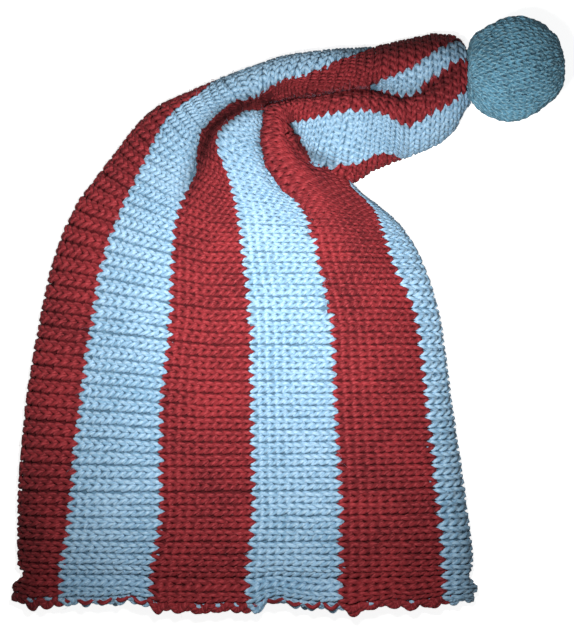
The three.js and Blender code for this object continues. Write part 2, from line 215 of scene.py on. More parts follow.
# Beside the tuck the sections bow back towards the mouth, by shares of MOUTH_WIDTH.
BOWED_SECTIONS = [9, 10, 11, 12, 13]
BOW = [0, 0.005, 0.011, 0.011, 0]
BOW_ACROSS, BOW_REACH = 0.85, 0.11
bow = np.interp(row_at, section_knots[BOWED_SECTIONS], BOW)[:, None]
bow = bow * MOUTH_WIDTH * np.exp(-(((across - BOW_ACROSS) / BOW_REACH) ** 2)) / width
net_x += bow * (net["inner_y"] - net["outer_y"]) * CAP_LENGTH
net_y -= bow * (net["inner_x"] - net["outer_x"]) * MOUTH_WIDTH
spread = np.abs(2 * across - 1)
top = net["height"] * PUFF
middle = np.minimum(EDGE_HEIGHT, top) / 2
dome = np.sqrt(np.clip(1 - spread**DOME_SHAPE, 0, None))
rounded = np.clip((spread - 1 + 2 * middle / width) / (2 * middle / width), 0, 1)
front_z = middle + (top - middle) * dome + fold_rise(net_x, net_y) * (1 - spread**FOLD_FADE)
back_z = middle * (1 - np.sqrt(1 - rounded**2))
net_z = np.where(turn <= 1, front_z, back_z) + net["lift"] * PUFF
fabric = np.stack([net_x, net_y, net_z], axis=-1)
# The overhangs fade out at the side folds, which stay where they are.
EDGE_STAYS = 24
on_front = ((turn <= 1) * (1 - spread**EDGE_STAYS))[..., None]
fabric[..., :2] += overhang_shift(net_x, net_y) * on_front

# The fabric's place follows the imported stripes.
stripe_low = np.min([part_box(name)[0] for name in STRIPES], axis=0)
fabric_shift = stripe_low[:2] - fabric[..., :2].min(axis=(0, 1))
fabric[..., :2] += fabric_shift

around = np.concatenate([fabric[:, 1:], fabric[:, 1:2]], axis=1) - np.concatenate(
    [fabric[:, -2:-1], fabric[:, :-1]], axis=1
)
forward = np.gradient(fabric, axis=0)
outward = np.cross(around, forward)
outward /= np.maximum(np.linalg.norm(outward, axis=-1, keepdims=True), 1e-12)
for _ in range(3):
    # Yarn can't follow a crease finer than itself, so the outward directions are averaged.
    ring = outward[:, :-1]
    ring = ring + np.roll(ring, 1, axis=1) + np.roll(ring, -1, axis=1)
    ring = np.concatenate([ring[:1], ring, ring[-1:]])
    ring = ring[:-2] + ring[1:-1] + ring[2:]
    outward = np.concatenate([ring, ring[:, :1]], axis=1)
    outward /= np.maximum(np.linalg.norm(outward, axis=-1, keepdims=True), 1e-12)
steps_round = np.linalg.norm(np.diff(fabric, axis=1), axis=-1)
round_length = np.concatenate([np.zeros((row_count, 1)), np.cumsum(steps_round, axis=1)], axis=1)
whole_round = round_length[:, -1]


def seam_length(share):
    """Length round each row at which a seam lies, from its share of the front."""
    wrapped = share % 2
    plan = np.where(wrapped <= 1, wrapped, 2 - wrapped)
    position = np.arccos(1 - 2 * plan) / np.pi
    position = np.where(wrapped <= 1, position, 2 - position) / 2 * LOOP_STEPS
    low = np.clip(position.astype(int), 0, LOOP_STEPS - 1)
    rows = np.arange(row_count)
    part = round_length[rows, low] + (round_length[rows, low + 1] - round_length[rows, low]) * (
        position - low
    )
    return part + np.floor(share / 2) * whole_round


front_seams = [net[f"seam_{n}"][:, 0] for n in range(1, 7)]
back_width = (front_seams[0] + 2 - front_seams[5]) / 5
seam_shares = (
    [front_seams[5] + 4 * back_width - 2]
    + front_seams
    + [front_seams[5] + n * back_width for n in range(1, 5)]
)
seams = np.stack([seam_length(share) for share in seam_shares], axis=1)


# The mouth's edge waves up and down: x as a share of MOUTH_WIDTH, and how far it draws in there.
# The wave fades out over HEM_FADE.
HEM_WAVE = np.array([
    [-0.02, 0.0036], [0.0, 0.0036], [0.036, 0.0008], [0.087, 0.0018], [0.141, 0.0024],
    [0.19, 0.0024], [0.248, 0.0039], [0.293, 0.0018], [0.315, -0.0008], [0.36, -0.0003],
    [0.414, -0.0013], [0.468, -0.0003], [0.53, -0.0013], [0.555, 0.0018], [0.584, 0.0034],
    [0.613, 0.0018], [0.671, -0.0003], [0.72, -0.0003], [0.738, -0.0018], [0.792, 0.0003],
    [0.837, 0.0013], [0.875, 0.0], [0.913, 0.001], [0.953, 0.0024], [1.02, 0.0026],
])
HEM_FADE = 0.016

# In the bend the ribs lean towards the tail beside the outer fold, and less and less up to
# LEAN_REACH of the way across.
LEANING_SECTIONS = [4, 6, 7, 8, 10, 12, 15]
LEAN = [0, 0.013, 0.02, 0.023, 0.021, 0.011, 0]
LEAN_REACH = 0.42
lean = np.interp(row_at, section_knots[LEANING_SECTIONS], LEAN)


def net_index(rows, length):
    """The net's step at a length round each of the given rows."""
    flat = (round_length + np.arange(row_count)[:, None] * 10.0).ravel()
    index = np.searchsorted(flat, length + rows * 10.0, side="right") - 1 - rows * (LOOP_STEPS + 1)
    return np.clip(index, 0, LOOP_STEPS - 1)


def on_fabric(along, round_at, height):
    """Points at a place along the tube, a length round it for any row, and a height off it."""
    level_row = np.clip(along / ROW_STEP, 0, row_count - 1.001).astype(int)
    share_across = across[0, net_index(level_row, round_at(level_row) % whole_round[level_row])]
    leaning = along + lean[level_row] * np.clip(1 - share_across / LEAN_REACH, 0, 1)
    position = np.clip(leaning / ROW_STEP, 0, row_count - 1.001)
    low_row = position.astype(int)
    mix = (position - low_row)[:, None]
    found = []
    for rows in (low_row, low_row + 1):
        length = round_at(rows) % whole_round[rows]
        index = net_index(rows, length)
        start, end = round_length[rows, index], round_length[rows, index + 1]
        share = ((length - start) / np.maximum(end - start, 1e-9))[:, None]
        point = fabric[rows, index] * (1 - share) + fabric[rows, index + 1] * share
        normal = outward[rows, index] * (1 - share) + outward[rows, index + 1] * share
        found.append((point, normal))
    point = found[0][0] * (1 - mix) + found[1][0] * mix
    normal = found[0][1] * (1 - mix) + found[1][1] * mix
    normal /= np.maximum(np.linalg.norm(normal, axis=1, keepdims=True), 1e-9)
    past_mouth = np.minimum(along, 0)[:, None] * np.array([[0, 1.0, 0]])
    placed = point + past_mouth + normal * height[:, None]
    from_left = (placed[:, 0] - stripe_low[0]) / MOUTH_WIDTH + HEM_WAVE[0, 0]
    drawn = np.interp(from_left, HEM_WAVE[:, 0], HEM_WAVE[:, 1])
    placed[:, 1] += drawn * np.exp(-((np.maximum(along, 0) / HEM_FADE) ** 2))
    placed[:, 2] = np.maximum(placed[:, 2], 0.0001)
    return placed


# Painted shade: the wool is drawn darker in the bottom of the folds, and along the folded
# sides at the mouth and the tail, where shade falls. Each line is a reach, a share of
# MOUTH_WIDTH, and its points: x, y and how much darker.
FOLD_SHADES = {
    "crease of the second red stripe": (0.024, [
        [0.36, 0.69, 0], [0.39, 0.735, 0.5], [0.418, 0.803, 0.75], [0.43, 0.831, 0.8],
        [0.456, 0.852, 0.8], [0.488, 0.866, 0.8], [0.524, 0.879, 0.7], [0.553, 0.889, 0.4],
    ]),
    "outer side of the tail": (0.032, [
        [0.66, 0.975, 0], [0.76, 0.975, 0.5], [0.85, 0.985, 0.7], [0.93, 0.995, 0.7], [0.985, 0.98, 0.5],
    ]),
    "valley along the tail": (0.017, [
        [0.57, 0.905, 0.3], [0.63, 0.893, 0.35], [0.72, 0.9, 0.3], [0.787, 0.905, 0.3],
        [0.85, 0.885, 0.4], [0.92, 0.902, 0.45], [0.975, 0.935, 0.45],
    ]),
    "edge under the roll": (0.011, [
        [0.606, 0.85, 0.3], [0.614, 0.82, 0.75], [0.64, 0.79, 0.7], [0.7, 0.77, 0.4],
    ]),
    "outer side at the mouth": (0.075, [
        [-0.01, -0.02, 0.5], [-0.01, 0.1, 0.45], [-0.01, 0.2, 0.25], [0, 0.33, 0],
    ]),
    "inner side at the mouth": (0.035, [
        [1.03, -0.02, 0.45], [1.02, 0.1, 0.45], [1.0, 0.25, 0.3], [0.95, 0.48, 0],
    ]),
}


def fold_shade(co):
    """How much painted shade darkens the wool at each point, from 0 to 1."""
    x = co[:, 0] - fabric_shift[0]
    y = co[:, 1] - fabric_shift[1]
    shade = np.zeros(len(co))
    for reach, line in FOLD_SHADES.values():
        for distance, value, _, _ in stretches(line, x, y):
            shade = np.maximum(shade, value * np.exp(-((distance / (reach * MOUTH_WIDTH)) ** 2)))
    return shade


# The yarn. It is a soft, slightly hairy yarn of two twisted plies, dyed deep red and pale
# blue. The same recipe serves both colours, the ball's darker yarn and the painted-shade backing.
def yarn_material(name, base, shade, light):
    material = bpy.data.materials.new(name)
    material.use_nodes = True
    nodes, links = material.node_tree.nodes, material.node_tree.links
    shader = nodes["Principled BSDF"]
    shader.inputs["Roughness"].default_value = 0.92
    shader.inputs["Specular IOR Level"].default_value = 0.2
    shader.inputs["Sheen Weight"].default_value = 0.12
    shader.inputs["Sheen Roughness"].default_value = 0.5
    shader.inputs["Sheen Tint"].default_value = (*light, 1)
    place = nodes.new("ShaderNodeTexCoord")
    strand = nodes.new("ShaderNodeUVMap")
    strand.uv_map = "strand"
    # The two plies wind round the yarn as slanting ridges.
    plies = nodes.new("ShaderNodeTexWave")
    plies.wave_type = "BANDS"
    plies.bands_direction = "DIAGONAL"
    plies.inputs["Scale"].default_value = 1.2566
    plies.inputs["Distortion"].default_value = 1.2
    plies.inputs["Detail"].default_value = 2
    links.new(strand.outputs["UV"], plies.inputs["Vector"])
    # Fibres lie along the plies and blur them.
    stretch = nodes.new("ShaderNodeMapping")
    stretch.inputs["Scale"].default_value = (6.0, 24.0, 1.0)
    links.new(strand.outputs["UV"], stretch.inputs["Vector"])
    fibres = nodes.new("ShaderNodeTexNoise")
    fibres.inputs["Scale"].default_value = 1.0
    fibres.inputs["Detail"].default_value = 3
    links.new(stretch.outputs["Vector"], fibres.inputs["Vector"])
    # The dye takes unevenly, in broad patches and in flecks the size of a stitch.
    patches = nodes.new("ShaderNodeTexNoise")
    patches.inputs["Scale"].default_value = 38
    patches.inputs["Detail"].default_value = 2
    links.new(place.outputs["Object"], patches.inputs["Vector"])
    flecks = nodes.new("ShaderNodeTexNoise")
    flecks.inputs["Scale"].default_value = 480
    flecks.inputs["Detail"].default_value = 3
    links.new(place.outputs["Object"], flecks.inputs["Vector"])
    depth = nodes.new("ShaderNodeMath")
    depth.operation = "MULTIPLY_ADD"
    depth.inputs[1].default_value = 0.45
    links.new(patches.outputs["Fac"], depth.inputs[0])
    shared = nodes.new("ShaderNodeMath")
    shared.operation = "MULTIPLY"
    shared.inputs[1].default_value = 0.55
    links.new(flecks.outputs["Fac"], shared.inputs[0])
    links.new(shared.outputs["Value"], depth.inputs[2])
    tone = nodes.new("ShaderNodeValToRGB")
    tone.color_ramp.elements[0].position = 0.36
    tone.color_ramp.elements[0].color = (*shade, 1)
    tone.color_ramp.elements[1].position = 0.62
    tone.color_ramp.elements[1].color = (*base, 1)
    links.new(depth.outputs["Value"], tone.inputs["Fac"])
    # Painted highlight: loose fibres on the ridges are drawn in the light colour, where they would catch
    # the light.
    lit = nodes.new("ShaderNodeMix")
    lit.data_type = "RGBA"
    lit.inputs["B"].default_value = (*light, 1)
    links.new(tone.outputs["Color"], lit.inputs["A"])
    ridges = nodes.new("ShaderNodeMath")
    ridges.operation = "MULTIPLY"
    links.new(fibres.outputs["Fac"], ridges.inputs[0])
    links.new(plies.outputs["Fac"], ridges.inputs[1])
    highlight = nodes.new("ShaderNodeMapRange")
    highlight.inputs["From Min"].default_value = 0.3
    highlight.inputs["From Max"].default_value = 0.65
    highlight.inputs["To Max"].default_value = 0.7
    links.new(ridges.outputs["Value"], highlight.inputs["Value"])
    links.new(highlight.outputs["Result"], lit.inputs["Factor"])
    # Painted shade darkens the colour in the folds and along the folded sides, by the share kept on each
    # point.
    folded = nodes.new("ShaderNodeAttribute")
    folded.attribute_name = "painted_shade_in_folds"
    kept = nodes.new("ShaderNodeMath")
    kept.operation = "SUBTRACT"
    kept.inputs[0].default_value = 1
    links.new(folded.outputs["Fac"], kept.inputs[1])
    painted_shade_colour = nodes.new("ShaderNodeVectorMath")
    painted_shade_colour.operation = "SCALE"
    links.new(lit.outputs["Result"], painted_shade_colour.inputs["Vector"])
    links.new(kept.outputs["Value"], painted_shade_colour.inputs["Scale"])
    links.new(painted_shade_colour.outputs["Vector"], shader.inputs["Base Color"])
    relief = nodes.new("ShaderNodeMath")
    relief.operation = "ADD"
    links.new(plies.outputs["Fac"], relief.inputs[0])
    links.new(fibres.outputs["Fac"], relief.inputs[1])
    bump = nodes.new("ShaderNodeBump")
    bump.inputs["Strength"].default_value = 0.8
    bump.inputs["Distance"].default_value = 0.0005
    links.new(relief.outputs["Value"], bump.inputs["Height"])
    links.new(bump.outputs["Normal"], shader.inputs["Normal"])
    return material


RED_YARN = yarn_material("red_yarn", (0.285, 0.025, 0.031), (0.13, 0.011, 0.015), (0.52, 0.075, 0.085))
BLUE_YARN = yarn_material("blue_yarn", (0.34, 0.535, 0.71), (0.19, 0.365, 0.525), (0.59, 0.775, 0.905))
YARNS = {"red": RED_YARN, "blue": BLUE_YARN}


def strand_grid(shape, length, steps, sides, level):
    """A flat grid to be rolled into one strand; its height tells which strand it is."""
    made = bmesh.ops.create_grid(shape, x_segments=steps, y_segments=sides, size=1)["verts"]
    bmesh.ops.scale(shape, vec=(length / 2, 0.5, 1), verts=made)
    bmesh.ops.translate(shape, vec=(length / 2, 0.5, level), verts=made)


def mark_strand(shape):
    """Keeps each vertex's place along and round its strand, for the yarn's material."""
    layer = shape.loops.layers.uv.new("strand")
    for face in shape.faces:
        for loop in face.loops:
            co = loop.vert.co
            loop[layer].uv = (co.x * 3.0 + co.z * 0.37, co.y + co.z * 0.11)


def rolled(path, at, ring, radius):
    """Points on a strand's skin: its path, swept by a ring."""
    centre = path(at)
    tangent = path(at + 0.004) - path(at - 0.004)
    tangent /= np.maximum(np.linalg.norm(tangent, axis=1, keepdims=True), 1e-12)
    side = np.cross(tangent, [0, 0, 1.0])
    side /= np.maximum(np.linalg.norm(side, axis=1, keepdims=True), 1e-12)
    rise = np.cross(side, tangent)
    angle = 2 * np.pi * ring[:, None]
    return centre + (side * np.cos(angle) + rise * np.sin(angle)) * radius


def move_verts(shape, place):
    """Moves every vertex of a flat shape by a function of all their coordinates."""
    moved = place(np.array([vert.co[:] for vert in shape.verts]))
    for vert, co in zip(shape.verts, moved):
        vert.co = co


def finish_mesh(shape, name, material):
    mesh = bpy.data.meshes.new(name)
    bmesh.ops.remove_doubles(shape, verts=shape.verts, dist=1e-6)
    shape.to_mesh(mesh)
    shape.free()
    mesh.polygons.foreach_set("use_smooth", np.ones(len(mesh.polygons), bool))
    co = np.empty(3 * len(mesh.vertices))
    mesh.vertices.foreach_get("co", co)
    # Each point keeps how much painted shade darkens it there.
    dark = mesh.attributes.new("painted_shade_in_folds", "FLOAT", "POINT")
    dark.data.foreach_set("value", fold_shade(co.reshape(-1, 3)))
    mesh.materials.append(material)
    piece = bpy.data.objects.new(name, mesh)
    bpy.context.scene.collection.objects.link(piece)
    return piece


# The stripes. Each is ten rows of stitches that run from the mouth into the tail, and rows end
# one by one where the stripe narrows. A row is one strand laid in loops that hang through its
# neighbours' loops, each a little tighter or looser than the next.
ROW_PITCH = 0.0044
MOST_ROWS = 10
YARN_RADIUS = 0.0012
LOOP_REACH = 0.86
LOOP_SWAY = 1.5
LOOP_PINCH = -0.2
LOOP_DEPTH = 0.0008
HEAD_SINK = 0.0015
BASE_SINK = 0.0012
FABRIC_MIDDLE = 0.0016
FRONT_STRIPES = 6
FRONT_STEPS, FRONT_SIDES = 13, 6
BACK_STEPS, BACK_SIDES = 10, 4
SEAM_SINK = 0.004
RIBS_TO_END_A_ROW = 1.6
UNEVEN_ALONG, UNEVEN_ROUND, UNEVEN_HEIGHT, UNEVEN_RIBS = 0.0002, 0.0003, 0.0002, 0.00018

# A rib is BODY_RIB wide at the mouth, and narrower by these shares in the bend and the tail.
BODY_RIB = 0.00652
NARROWED_SECTIONS = [4, 6, 7, 8, 9, 10, 12, 14]
NARROWED = [1, 0.96, 0.87, 0.75, 0.67, 0.64, 0.65, 0.74]
rib_width = BODY_RIB * np.interp(row_at, section_knots[NARROWED_SECTIONS], NARROWED)
ribs_before = np.concatenate([[0], np.cumsum(ROW_STEP / rib_width[:-1])])
rib_count = int(ribs_before[-1])
chance = np.random.default_rng(11)
rib_drift = chance.normal(0, UNEVEN_RIBS, rib_count + 3)


def rib_place(ribs):
    """Length along the tube at a number of ribs from the mouth."""
    return np.interp(ribs, ribs_before, row_at) + np.minimum(ribs, 0) * BODY_RIB


def uneven(tables, row, at):
    """Values that change smoothly from one half stitch to the next."""
    low = np.clip(at.astype(int), 0, tables.shape[1] - 2)
    mix = np.clip(at - low, 0, 1)
    mix = mix * mix * (3 - 2 * mix)
    return tables[row, low] * (1 - mix) + tables[row, low + 1] * mix


def stripe_width(stripe):
    """The stripe's width at each net row, round the tube."""
    return seams[:, stripe + 1] - seams[:, stripe]


def rows_in_stripe(wide):
    """Whole number of rows at each net row, and its smoothed value that spaces them."""
    wanted = np.round(wide / ROW_PITCH)
    whole = np.maximum.accumulate(wanted[::-1])[::-1]
    whole = np.clip(whole, 2, MOST_ROWS)
    reach = int(RIBS_TO_END_A_ROW * BODY_RIB / ROW_STEP)
    padded = np.pad(whole, reach, mode="edge")
    smooth = np.convolve(padded, np.ones(2 * reach + 1) / (2 * reach + 1), mode="valid")
    return whole, smooth


def stripe_strands(stripe):
    wide = stripe_width(stripe)
    whole, smooth = rows_in_stripe(wide)
    steps, sides = (FRONT_STEPS, FRONT_SIDES) if stripe < FRONT_STRIPES else (BACK_STEPS, BACK_SIDES)
    shape = bmesh.new()
    for row in range(MOST_ROWS):
        active = np.nonzero(whole > row + 0.5)[0]
        if len(active) == 0:
            break
        ribs = min(rib_count, max(2, int(ribs_before[active[-1]])))
        strand_grid(shape, ribs, ribs * steps, sides, row)
    mark_strand(shape)
    shifts = chance.normal(0, 1, (3, MOST_ROWS, 2 * rib_count + 4))
    squeeze = np.clip(wide / smooth / ROW_PITCH, 0, 1)

    def loops(flat):
        along, ring, row = flat[:, 0], flat[:, 1], np.round(flat[:, 2]).astype(int)

        def path(at):
            t = 2 * np.pi * at
            x = rib_place(at + (LOOP_SWAY * np.sin(2 * t) + LOOP_PINCH * np.sin(t)) / (2 * np.pi))
            x += np.interp(at, np.arange(len(rib_drift)), rib_drift)
            x += UNEVEN_ALONG * uneven(shifts[0], row, 2 * at)
            y = -LOOP_REACH * np.cos(t) * ROW_PITCH + UNEVEN_ROUND * uneven(shifts[1], row, 2 * at)
            sink = np.where(np.cos(t) > 0, BASE_SINK, HEAD_SINK)
            z = -LOOP_DEPTH * np.cos(2 * t) - sink * np.cos(t) ** 6
            z += UNEVEN_HEIGHT * uneven(shifts[2], row, 2 * at)
            return np.stack([x, y, z], axis=1)

        # The yarn is pressed thinner where the ribs are narrow.
        narrow = np.interp(along, ribs_before, rib_width) / BODY_RIB
        place = rolled(path, along, ring, YARN_RADIUS * (0.7 + 0.3 * narrow)[:, None])
        reach = place[:, 1] / ROW_PITCH

        def round_at(rows):
            pitch = wide[rows] / smooth[rows]
            if stripe == 0:
                # The first red stripe ends its rows on the back.
                return seams[rows, 1] + (reach - row - 0.5) * pitch
            return seams[rows, stripe] + (reach + row + 0.5) * pitch

        sunk = SEAM_SINK * (1 - np.interp(place[:, 0], row_at, squeeze)) ** 3
        return on_fabric(place[:, 0], round_at, place[:, 2] - FABRIC_MIDDLE - sunk)

    move_verts(shape, loops)
    return shape


for stripe, (name, colour) in enumerate(zip(STRIPES, STRIPE_COLOURS)):
    strands = finish_mesh(stripe_strands(stripe), name + "_stitches", YARNS[colour])
    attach(strands, "root")
    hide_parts(name)

# The backing. Behind the strands of each stripe a thin dark layer closes the fabric; its
# darkness is painted shade between the stitches. It is one skin a stripe, laid under the stitches.
BACKING_THICKNESS = 0.0007
BACKING_DEPTH = FABRIC_MIDDLE + 0.0008
BACKING_STEPS = 120, 8
BACKINGS = {
    "red": yarn_material("red_backing", (0.09, 0.006, 0.009), (0.05, 0.004, 0.006), (0.16, 0.016, 0.02)),
    "blue": yarn_material("blue_backing", (0.11, 0.21, 0.3), (0.07, 0.14, 0.2), (0.2, 0.34, 0.44)),
}
for stripe, (name, colour) in enumerate(zip(STRIPES, STRIPE_COLOURS)):
    wide = stripe_width(stripe)
    shape = bmesh.new()
    bmesh.ops.create_grid(shape, x_segments=BACKING_STEPS[0], y_segments=BACKING_STEPS[1], size=0.5)
    bmesh.ops.translate(shape, vec=(0.5, 0.5, 0), verts=shape.verts)
    mark_strand(shape)

    def sheet(flat, stripe=stripe, wide=wide):
        def round_at(rows):
            return seams[rows, stripe] + flat[:, 1] * wide[rows]

        return on_fabric(flat[:, 0] * TUBE_LENGTH, round_at, np.full(len(flat), -BACKING_DEPTH))

    move_verts(shape, sheet)
    bmesh.ops.recalc_face_normals(shape, faces=shape.faces)
    backing = finish_mesh(shape, name + "_backing", BACKINGS[colour])
    thicken = backing.modifiers.new("Solidify", "SOLIDIFY")
    thicken.thickness = BACKING_THICKNESS
    thicken.offset = 0
    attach(backing, "root")

# The selvedge at the mouth. At each turn of the knitting, every second row, the yarn makes a
# bulging loop past the edge, a bar across the loop's neck, and a lower loop on to the next turn.
TURNS = MOST_ROWS // 2
SELVEDGE_RADIUS = {"red": 0.0017, "blue": 0.0012}
SELVEDGE_LOOP = {"red": 0.0036, "blue": 0.0046}
SELVEDGE_STEPS, SELVEDGE_SIDES = 16, 6
SELVEDGE_UNEVEN, SELVEDGE_DRIFT = 0.26, 0.2
edge_chance = np.random.default_rng(5)


def selvedge_strands(stripe, colour):
    wide = stripe_width(stripe)
    shape = bmesh.new()
    for strand in range(3 * TURNS):
        strand_grid(shape, 1, SELVEDGE_STEPS, SELVEDGE_SIDES, strand)
    mark_strand(shape)
    sizes = edge_chance.normal(1, SELVEDGE_UNEVEN, 3 * TURNS)
    moves = edge_chance.normal(0, SELVEDGE_DRIFT, 3 * TURNS)

    def turns(flat):
        at, ring, strand = flat[:, 0], flat[:, 1], np.round(flat[:, 2]).astype(int)
        turn_number, kind = strand // 3, strand % 3
        size, move = sizes[strand], moves[strand]

        def path(at):
            swing = np.sin(np.pi * at)
            loop, bar = kind == 0, kind == 1
            loop_x = 0.0026 - SELVEDGE_LOOP[colour] * size * swing
            bar_x = 0.0009 + 0.0012 * size * np.cos(2 * np.pi * at)
            x = np.select([loop, bar], [loop_x, bar_x], 0.0022 - 0.0027 * size * swing)
            course = np.select([loop, bar], [0.35 + 1.3 * at, 0.1 + 1.8 * at], 1.35 + 1.3 * at)
            loop_z = -0.0004 + 0.0006 * swing
            bar_z = 0.0002 + 0.0011 * size * swing
            z = np.select([loop, bar], [loop_z, bar_z], -0.001 + 0.0009 * swing)
            y = (2 * turn_number + course + move) * ROW_PITCH
            return np.stack([x, y, z], axis=1)

        place = rolled(path, at, ring, SELVEDGE_RADIUS[colour])
        courses = place[:, 1] / ROW_PITCH

        def round_at(rows):
            return seams[rows, stripe] + courses * wide[rows] / MOST_ROWS

        return on_fabric(place[:, 0], round_at, place[:, 2] - FABRIC_MIDDLE)

    move_verts(shape, turns)
    return shape


for stripe, (name, colour) in enumerate(zip(STRIPES, STRIPE_COLOURS)):
    selvedge = finish_mesh(selvedge_strands(stripe, colour), name + "_selvedge", YARNS[colour])
    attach(selvedge, "root")

# The carried yarn. The colour that isn't in use runs up the edge behind each stripe and is
# caught at every second row, so it shows there as dashes.
CARRIED_RADIUS = 0.0011
CARRIED_ALONG = 0.0018
CARRIED_WAVE = 0.0014
CARRIED_HEIGHT, CARRIED_DEPTH = 0.0008, -0.0019
SHOWS_MOST = ("blue_stripe_1", "blue_stripe_2")
# It starts COVERED_DEPTH deeper, and rises within COVERED_ROWS.
COVERED_ROWS, COVERED_DEPTH = 2.4, 0.0025
for stripe, name in enumerate(STRIPES):
    wide = stripe_width(stripe)
    colour = "blue" if name.startswith("red") else "red"
    shows = CARRIED_HEIGHT if name in SHOWS_MOST else CARRIED_DEPTH
    shape = bmesh.new()
    strand_grid(shape, 1, MOST_ROWS * 8, 5, 0)
    mark_strand(shape)
    waver = edge_chance.normal(0, 1, (2, 1, MOST_ROWS + 3))

    def carried(flat, stripe=stripe, wide=wide, shows=shows, waver=waver):
        def path(at):
            course = at * MOST_ROWS
            line = np.zeros(len(at), int)
            x = CARRIED_ALONG + 0.0005 * uneven(waver[0], line, course)
            z = shows + CARRIED_WAVE * np.cos(np.pi * (course + 1))
            z += 0.0004 * uneven(waver[1], line, course)
            z -= COVERED_DEPTH * np.clip(COVERED_ROWS - course, 0, 1)
            return np.stack([x, course * ROW_PITCH, z], axis=1)

        place = rolled(path, flat[:, 0], flat[:, 1], CARRIED_RADIUS)

        def round_at(rows):
            return seams[rows, stripe] + place[:, 1] / ROW_PITCH * wide[rows] / MOST_ROWS

        return on_fabric(place[:, 0], round_at, place[:, 2] - FABRIC_MIDDLE + CARRIED_RADIUS)

    move_verts(shape, carried)
    strand = finish_mesh(shape, f"{colour}_yarn_carried_along_{name}", YARNS[colour])
    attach(strand, "root")

# The loose fibres. Fine hairs of wool stand off the yarn all over and soften its outline. Each
# is rooted in a stripe, leaves it in a curve and thins towards its tip.
FIBRES_PER_STRIPE = 700
FIBRE_WIDTH = 0.00009
FIBRE_LENGTHS = 0.002, 0.006
FIBRE_LIFTS = 0.0002, 0.0019
fibre_chance = np.random.default_rng(3)
for colour in ("red", "blue"):
    # One long strip of quads, cut into hairs by taking out every fifth quad.
    shape = bmesh.new()
    stripes = np.array([stripe for stripe, own_colour in enumerate(STRIPE_COLOURS) if own_colour == colour])
    count = FIBRES_PER_STRIPE * len(stripes)
    strand_grid(shape, count, count * 5, 1, 0)
    gaps = [face for face in shape.faces if (face.calc_center_median().x * 5) % 5 > 4]
    bmesh.ops.delete(shape, geom=gaps, context="FACES")
    mark_strand(shape)
    own = stripes[fibre_chance.integers(0, len(stripes), count)]
    roots = fibre_chance.uniform(0, 1, (4, count))
    lengths = fibre_chance.uniform(*FIBRE_LENGTHS, count)
    lifts = fibre_chance.uniform(*FIBRE_LIFTS, count)

    def hairs(flat, own=own, roots=roots, lengths=lengths, lifts=lifts):
        fibre = (flat[:, 0] + 0.1).astype(int)
        at, ring = (flat[:, 0] - fibre) / 0.8, flat[:, 1]
        heading = 2 * np.pi * roots[2, fibre] + (roots[3, fibre] - 0.5) * 3 * at
        across_hair = (ring - 0.5) * FIBRE_WIDTH * (1 - 0.6 * at)
        x = roots[0, fibre] * TUBE_LENGTH + lengths[fibre] * at * np.cos(heading)
        x -= across_hair * np.sin(heading)
        y = lengths[fibre] * at * np.sin(heading) + across_hair * np.cos(heading)
        z = lifts[fibre] * np.sin(at * 2.2)

        def round_at(rows):
            start, end = seams[rows, own[fibre]], seams[rows, own[fibre] + 1]
            return start + (end - start) * roots[1, fibre] + y

        return on_fabric(x, round_at, z - 0.0002)

    move_verts(shape, hairs)
    fibres = finish_mesh(shape, colour + "_loose_fibres", YARNS[colour])
    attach(fibres, "root")

# The stuffed ball. It is a small knitted bag in finer, darker yarn, stuffed tight and sewn to
# the tail's end. Its stitches run from the neck to the far side, with fewer near both ends.
ball_low, ball_high = (np.array(corner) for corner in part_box("stuffed_ball"))
BALL_WIDTH = ball_high[1] - ball_low[1]
BALL_HALF_HEIGHT, BALL_CENTRE_HEIGHT = 0.0247, 0.0246
# The far side is pressed in, so the centre stands this much nearer to it.
BALL_SHIFT = 0.0008
BALL_HALF = np.array([BALL_WIDTH / 2, BALL_WIDTH / 2, BALL_HALF_HEIGHT])
BALL_CENTRE = np.array([
    ball_high[0] - BALL_WIDTH / 2 + BALL_SHIFT, (ball_low[1] + ball_high[1]) / 2, BALL_CENTRE_HEIGHT,
])
BALL_TURN = np.radians(16)
NECK_TO_FAR = np.array([np.cos(BALL_TURN), np.sin(BALL_TURN), 0])
BALL_LEFT = np.array([-np.sin(BALL_TURN), np.cos(BALL_TURN), 0])
# Pressed places: a direction, and the share of its radius at which the ball is flat there.
PRESSED = [
    ((-1, 0.02, 0), 0.86), ((0, 0, -1), 0.99), ((-0.45, 0.89, 0.1), 0.945), ((1, 0.05, 0), 0.97),
    ((0.55, -0.83, 0), 0.93),
]
FLATNESS = 22
BALL_ROWS = 25
BALL_ROW_PITCH = 0.0033
BALL_RADIUS = 0.00093
BALL_REACH, BALL_SWAY, BALL_DEPTH = 1.06, 1.25, 0.0007
BALL_UNEVEN = 0.0004, 0.00042, 0.0003
BALL_MIDDLE = 0.0017
BALL_BACK = 0.0021
BALL_YARN = yarn_material("ball_yarn", (0.185, 0.45, 0.615), (0.035, 0.11, 0.165), (0.5, 0.8, 0.9))
ball_chance = np.random.default_rng(9)
ball_shifts = ball_chance.normal(0, 1, (3, BALL_ROWS, 80))


def on_ball(polar, azimuth, height):
    heading = (
        -NECK_TO_FAR * np.cos(polar)[:, None]
        + BALL_LEFT * (np.sin(polar) * np.cos(azimuth))[:, None]
        + np.array([0, 0, 1.0]) * (np.sin(polar) * np.sin(azimuth))[:, None]
    )
    squeeze = np.ones(len(polar))
    for way, distance in PRESSED:
        way = np.array(way) / np.linalg.norm(way)
        squeeze += (np.clip(heading @ way, 0, None) / distance) ** FLATNESS
    reach = squeeze ** (-1 / FLATNESS)
    return BALL_CENTRE + heading * (reach[:, None] * BALL_HALF + height[:, None])


